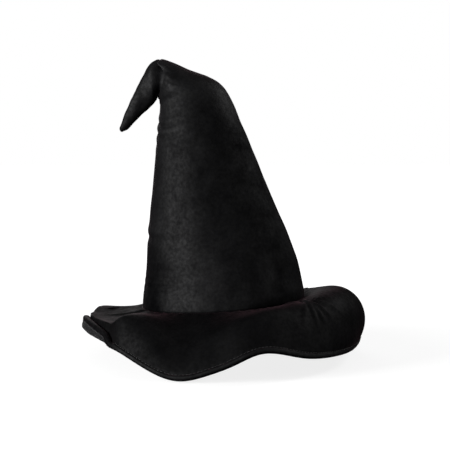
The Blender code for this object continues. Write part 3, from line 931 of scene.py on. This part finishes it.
# Gathers that fan out over the brim: where each starts, in degrees round the crown and
# millimetres out from it, where it ends, its height and its half width at the start.
PINCH = (-40.0, 31.0)
GATHERS = [
    (*PINCH, -17, 56, 1.4, 1.7),
    (*PINCH, -25, 68, 1.9, 1.7),
    (*PINCH, -30, 82, 1.9, 1.7),
    (*PINCH, -35, 86, 1.8, 1.7),
    (*PINCH, -40, 88, 1.7, 1.7),
    (*PINCH, -48, 78, 1.1, 2),
    (-46, 2, -41, 34, 1.2, 2.6),
    (-141, 4, -152, 58, 1.3, 2.8),
    (-136, 4, -140, 50, 1, 2.6),
    (-160, 0, -176, 60, 1.4, 3.2),
    (38, 26, 22, 76, 1.9, 2.8),
    (38, 26, 31, 84, 2.1, 2.8),
    (38, 26, 41, 78, 1.6, 2.8),
    (128, 6, 120, 74, 1.5, 3.6),
    (134, 6, 142, 66, 1.3, 3.6),
]

# Painted light and shade on the brim's pile: a painted highlight at the pinch, and painted shade at the
# left, right
# and front: degrees round the crown, millimetres out from it, the patch's half sizes in both, and how
# light.
BRIM_PAINTED_LIGHT = [
    (PINCH[0], PINCH[1] + 4, 4, 6, 1.6),
    (176, 40, 26, 38, -0.85),
    (12, 34, 26, 30, -0.6),
    (-95, 30, 40, 24, -0.2),
]


def brim_relief(rows, surface):
    """How far the brim's velvet stands off its plain waves."""
    rows = np.asarray(rows)[:, None]
    step = np.linalg.norm(np.roll(surface, -1, axis=1) - np.roll(surface, 1, axis=1), axis=-1) / 2
    girth = step * BRIM_AROUND / (2 * math.pi)  # millimetres of cloth per radian
    relief = 0 * girth
    for start, low, end, high, height, width in GATHERS:
        share = np.clip((rows - low) / (high - low), 0.0, 1.3)
        line = math.radians(start) + math.radians(end - start) * share
        away = turn_from(BRIM_ANGLES[None, :], line) * girth
        wide = width * (1 + 1.3 * share)
        grow = smoothstep(-4.0, 7.0, rows - low) * smoothstep(1.2, 0.3, share)
        beside = bump(away, 1.7 * wide, wide) + bump(away, -1.7 * wide, wide)
        relief += height * grow * (bump(away, 0.0, wide) - 0.45 * beside)
    across = turn_from(BRIM_ANGLES[None, :], math.radians(PINCH[0])) * girth
    relief -= 2.2 * bump(across, 0.0, 5.0) * bump(rows, PINCH[1] - 4.0, 7.0)
    middle = smoothstep(0.0, 14.0, rows) * smoothstep(106.0, 92.0, rows)
    relief += middle * (1.1 * soft_noise(surface, 58.0, 11) + 0.45 * soft_noise(surface, 23.0, 12))
    pucker = np.sin(BRIM_ANGLES * 47 + 1.9 * np.sin(BRIM_ANGLES * 6))[None, :]
    relief += 0.5 * pucker * np.exp(-np.maximum(rows, 0.0) / 8.0) * (rows > -1)
    relief += 0.22 * HEM_PUCKERS * np.exp(-np.maximum(HEM_ROW - rows, 0.0) / 6.0)
    return relief - 0.7 * bump(rows, HEM_ROW - 1.2, 1.6)


def brim_rows():
    """Rows from inside the crown out to the hem, closer together at both ends."""
    share = np.linspace(0.0, 1.0, BRIM_ROWS)
    share = share - 0.055 * np.sin(2 * math.pi * share)
    return BRIM_FIRST_ROW + (HEM_ROW - BRIM_FIRST_ROW) * share


def lowered(points, rows):
    """Lets the outer half down, so that the lowest waves of the thin hem rest on the floor."""
    share = smoothstep(40.0, 108.0, np.asarray(rows, float))
    moved = points.copy()
    moved[..., 2] -= HEM_DROP * (share[:, None] if points.ndim == 3 else share)
    return moved


def build_brim():
    rows = brim_rows()
    plain = brim_surface(rows)
    normal = -normals_of(plain)
    relief = brim_relief(rows, plain)
    top = lowered(plain + normal * relief[..., None], rows)
    wear_and_painted_light = 0.55 * smoothstep(0.8, 2.4, relief) + 0.2 * smoothstep(98.0, 104.0, rows)[:, None]
    # Painted highlight and painted shade in patches, added to the wear.
    for angle, row, spread, length, light in BRIM_PAINTED_LIGHT:
        away = turn_from(BRIM_ANGLES, math.radians(angle))
        wear_and_painted_light += light * bump(away, 0.0, math.radians(spread)) * bump(rows[:, None], row, length)
    cloth = thicken(ring_mesh("brim_top_cloth", top[::-1], wear_and_painted_light=wear_and_painted_light[::-1]), VELVET)
    # The brim's velvet is the darker copy of the velvet: painted shade.
    finish_piece(cloth, "velvet", "brim_top_velvet", material="brim_velvet_shaded")

    near, far = BRIM_PADDING
    quiet = lowered(plain + normal * (relief * 0.9 - near)[..., None], rows)
    padding = thicken(ring_mesh("brim_padding", quiet[1:-2:2][::-1]), far - near)
    finish_piece(padding, "foam", "brim_foam")

    below = lowered(plain + normal * (relief * 0.55 - BRIM_UNDER)[..., None], rows)
    under = thicken(ring_mesh("brim_under_cloth", below[::-1]), VELVET)
    finish_piece(under, "under_velvet", "brim_under_velvet")

    edge = build_hem()
    build_wire()


HEM_MIDDLE = -2.1  # up from the brim's upper face
ON_FLOOR = 0.05
STITCHES_IN, STITCHES_LOWEST = 6.0, 0.5
HEM_STITCHES = [  # name, CAD node, height above the brim's upper face, and which way is up
    ("brim_top_stitches", "brim_topstitch", 0.12, 1.0),
    ("brim_under_stitches", "brim_understitch", -4.75, -1.0),
]

# The hem's section, over the edge of the sheets: millimetres out from their CAD edge and up
# from the brim's upper face, round the outside and then back inside.
HEM_SECTION = [
    (-5.3, 0.12), (-4.5, 0.72), (-3.3, 1.08), (-1.9, 1.02), (-0.5, 0.4), (0.45, -0.7), (0.7, -2.1),
    (0.45, -3.5), (-0.5, -4.8), (-1.9, -5.35), (-3.3, -5.45), (-4.5, -5.2), (-5.3, -4.72),
    (-4.4, -4.66), (-3.2, -4.68), (-1.9, -4.55), (-0.9, -4.0), (-0.3, -3.1), (-0.15, -2.1),
    (-0.3, -1.1), (-0.9, -0.3), (-1.9, 0.2), (-3.2, 0.26), (-4.4, 0.06),
]


def edge_frame():
    """The sheets' edge ring, the way out along the cloth, and the way up from it."""
    rows = [BRIM_EDGE_ROW - 6.0, BRIM_EDGE_ROW - 3.0, BRIM_EDGE_ROW]
    surface = lowered(brim_surface(rows), rows)
    out = unit(surface[2] - surface[0])
    round_it = np.roll(surface[2], -1, axis=0) - np.roll(surface[2], 1, axis=0)
    return surface[2], out, unit(np.cross(out, round_it))


def build_hem():
    """The hem, and the two rows of stitches beside it."""
    edge, out, up = edge_frame()
    section = spline(HEM_SECTION, np.arange(0, len(HEM_SECTION), 0.5), closed=True)
    plump = 1 + (0.035 * HEM_PUCKERS + 0.028 * soft_noise(edge, 9.0, 21))[:, None]
    rings = [edge + out * t + up * (HEM_MIDDLE + (n - HEM_MIDDLE) * plump) for t, n in section]
    rings = np.array(rings)
    rings[..., 2] = np.maximum(rings[..., 2], ON_FLOOR)
    # The hem's upper side is lighter: a painted highlight where the roll faces up, and wear on it.
    wear_and_painted_light = np.array([smoothstep(-1.5, 0.8, n) * bump(t, -2.6, 2.4) for t, n in section])
    wear_and_painted_light = np.repeat(wear_and_painted_light[:, None], BRIM_AROUND, axis=1) * 0.9
    hem = ring_mesh("brim_hem", rings[::-1], closed_section=True, wear_and_painted_light=wear_and_painted_light[::-1])
    # The hem uses the brim's darker copy of the velvet: painted shade.
    finish_piece(hem, "velvet", "brim_binding", material="brim_velvet_shaded")

    pieces = [hem]
    for name, node, height, side in HEM_STITCHES:
        line = edge - STITCHES_IN * out + up * height
        line[:, 2] = np.maximum(line[:, 2], STITCHES_LOWEST)
        row = stitch_row(name, line, up * side, pitch=4.2, length=3.1, radius=0.32)
        finish_piece(row, "thread", node)
        pieces.append(row)
    return pieces


WIRE_RADIUS, WIRE_IN, WIRE_BELOW = 0.6, 1.9, 2.3
JOIN_ANGLE = math.radians(93.0)
SLEEVE_RADIUS, SLEEVE_BORE, SLEEVE_LENGTH = 0.95, 0.72, 12.0
CRIMP, CRIMP_APART = 0.16, 3.2  # how deep each crimp is, and how far from the sleeve's middle


def build_wire():
    """The wire in the hem, open at the back, and the crimped sleeve over its two ends."""
    edge, out, up = edge_frame()
    line = edge - WIRE_IN * out - WIRE_BELOW * up
    join = int(round(JOIN_ANGLE / (2 * math.pi) * BRIM_AROUND))
    turned = np.roll(line, -join, axis=0)
    finish_piece(tube_mesh("brim_wire_rod", turned, WIRE_RADIUS, sides=8), "steel", "brim_wire")

    span = np.vstack([turned[-4:], turned[:4]])
    place = lengths_along(span)
    middle = (place[3] + place[4]) / 2
    at = np.linspace(middle - SLEEVE_LENGTH / 2, middle + SLEEVE_LENGTH / 2, 25)
    centre = values_at(at, place, span)
    ahead = unit(centre[-1] - centre[0])
    side = np.cross(ahead, up[join])
    rise = np.cross(side, ahead)
    turns = steps_round(14)[:, None]
    crimped = bump(at - middle, -CRIMP_APART, 0.8) + bump(at - middle, CRIMP_APART, 0.8)
    outer = SLEEVE_RADIUS - CRIMP * crimped
    radii = np.concatenate([outer, np.full(len(at), SLEEVE_BORE)])
    rim = np.cos(turns) * side + np.sin(turns) * rise
    rings = np.vstack([centre, centre[::-1]])[:, None] + radii[:, None, None] * rim
    sleeve = ring_mesh("wire_sleeve_crimped", rings, closed_section=True)
    finish_piece(sleeve, "steel", "wire_sleeve")


# --- inside the head opening ---------------------------------------------------------------

BAND_AROUND, BAND_THICKNESS = 360, 0.7
BAND_TOP = 0.65  # in stations
BAND_STATIONS = np.concatenate([np.linspace(-0.15, 0.0, 6), np.linspace(0.03, BAND_TOP, 24)])
BAND_STITCHES = 12  # the ring that they follow
BAND_STITCHES_OFF = 0.75


def build_sweatband():
    angles = BACK + steps_round(BAND_AROUND)
    stations = BAND_STATIONS[:, None] + 0 * angles
    plain = crown_surface(stations, angles)
    depth = SWEATBAND + 0.25 * soft_noise(plain, 22.0, 31)
    depth += 0.5 * smoothstep(BAND_TOP - 0.1, BAND_TOP, stations)
    rings = plain - normals_of(plain) * depth[..., None]
    band = thicken(ring_mesh("sweatband_ribbon", rings), BAND_THICKNESS)
    finish_piece(band, "ribbon", "sweatband")

    inward = -normals_of(rings)[BAND_STITCHES]
    line = rings[BAND_STITCHES] + inward * BAND_STITCHES_OFF
    stitches = stitch_row("sweatband_stitches", line, inward, pitch=3.6, length=2.5, radius=0.3)
    finish_piece(stitches, "thread", "sweatband_stitch")


LABEL_COLUMNS, LABEL_ROWS = 25, 15
LABEL_THICKNESS, LABEL_BOW = 0.4, 0.7
LABEL_MARGIN = 0.3  # inside the CAD label's box


def build_label():
    """A blank tape label, sewn to the sweatband by its corners and bowed a little off it."""
    low, high = (np.array(corner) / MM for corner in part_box("size_label"))
    across, up = np.linspace(0.0, 1.0, LABEL_COLUMNS), np.linspace(0.0, 1.0, LABEL_ROWS)[:, None]
    x = low[0] + (high[0] - low[0]) * across + 0 * up
    z = low[2] + (high[2] - low[2]) * up + 0 * across
    lean = high[1] - LABEL_MARGIN + (low[1] - high[1] + 2 * LABEL_MARGIN) * up
    bow = LABEL_BOW * np.sin(math.pi * across) * np.sin(math.pi * up)
    points = np.stack([x, lean - bow, z], axis=-1).reshape(-1, 3)
    spots = np.arange(LABEL_ROWS * LABEL_COLUMNS).reshape(LABEL_ROWS, LABEL_COLUMNS)
    starts = spots[:-1, :-1].ravel().tolist()
    faces = [(i, i + 1, i + 1 + LABEL_COLUMNS, i + LABEL_COLUMNS) for i in starts]
    label = thicken(mesh_object("blank_label", points, faces), LABEL_THICKNESS)
    finish_piece(label, "label", "size_label")


# --- the studio ----------------------------------------------------------------------------

# The camera: its angle above level, and in metres its distance, and what it looks at.
ELEVATION = math.radians(5.5)
DISTANCE = 1.8
AIM_ABOVE_BASE, AIM_ASIDE = 0.091, 0.0015
LENS, SENSOR = 121.0, 36.0

# The lights: place, what they face, size and watts.
MIDDLE = (0.0, 0.0, 0.17)
LIGHTS = {
    "key": ((-1.35, -0.8, 0.5), MIDDLE, 0.8, 36.0),
    "rim": ((1.35, 0.5, 1.2), MIDDLE, 0.7, 10.0),
    "top": ((0.0, 0.0, 2.2), MIDDLE, 2.4, 5.0),
    "front": ((0.4, -2.2, 0.7), MIDDLE, 1.6, 8.0),
    "low": ((1.5, -0.75, 0.1), (0.1, 0.0, 0.03), 0.3, 7.0),
    "back": ((-0.6, 2.2, 1.0), MIDDLE, 1.6, 9.0),
}
FLOOR_SIZE, FLOOR_BELOW = 4e3, 0.3  # millimetres


def build_camera():
    forward = Vector((0.0, math.cos(ELEVATION), -math.sin(ELEVATION)))
    up = Vector((0.0, math.sin(ELEVATION), math.cos(ELEVATION)))
    aim = Vector(CROWN_BASE * MM) + up * AIM_ABOVE_BASE + Vector((AIM_ASIDE, 0.0, 0.0))
    data = bpy.data.cameras.new("camera")
    data.lens, data.sensor_width = LENS, SENSOR
    camera = linked(bpy.data.objects.new("camera", data))
    camera.location = aim - forward * DISTANCE
    camera.rotation_euler = (math.pi / 2 - ELEVATION, 0.0, 0.0)
    bpy.context.scene.camera = camera


def soft_light(name, spot, target, size, power):
    data = bpy.data.lights.new(name, "AREA")
    data.shape, data.size, data.energy = "DISK", size, power
    light = linked(bpy.data.objects.new(name, data))
    light.location = spot
    light.rotation_euler = (Vector(target) - Vector(spot)).to_track_quat("-Z", "Y").to_euler()


def build_studio():
    """The floor, which lights nothing, an even white world behind it, and the lights."""
    corners = [(x, y, -FLOOR_BELOW / FLOOR_SIZE) for x, y in ((-1, -1), (1, -1), (1, 1), (-1, 1))]
    floor = mesh_object("floor", np.array(corners) * FLOOR_SIZE, [(0, 1, 2, 3)], smooth=False)
    floor.data.materials.append(page("floor", (0.3, 0.3, 0.3)))
    world = bpy.data.worlds.new("studio")
    world.use_nodes = True
    world.node_tree.nodes["Background"].inputs["Color"].default_value = (1.0, 1.0, 1.0, 1.0)
    world.node_tree.nodes["Background"].inputs["Strength"].default_value = 1.0
    world.cycles_visibility.diffuse = False
    world.cycles_visibility.glossy = False
    floor.visible_diffuse = False
    floor.visible_glossy = False
    bpy.context.scene.world = world
    bpy.context.scene.view_settings.view_transform = "Standard"
    for name, setting in LIGHTS.items():
        soft_light(name, *setting)


build_camera()
build_crown()
build_tip()
build_brim()
build_sweatband()
build_label()
build_studio()
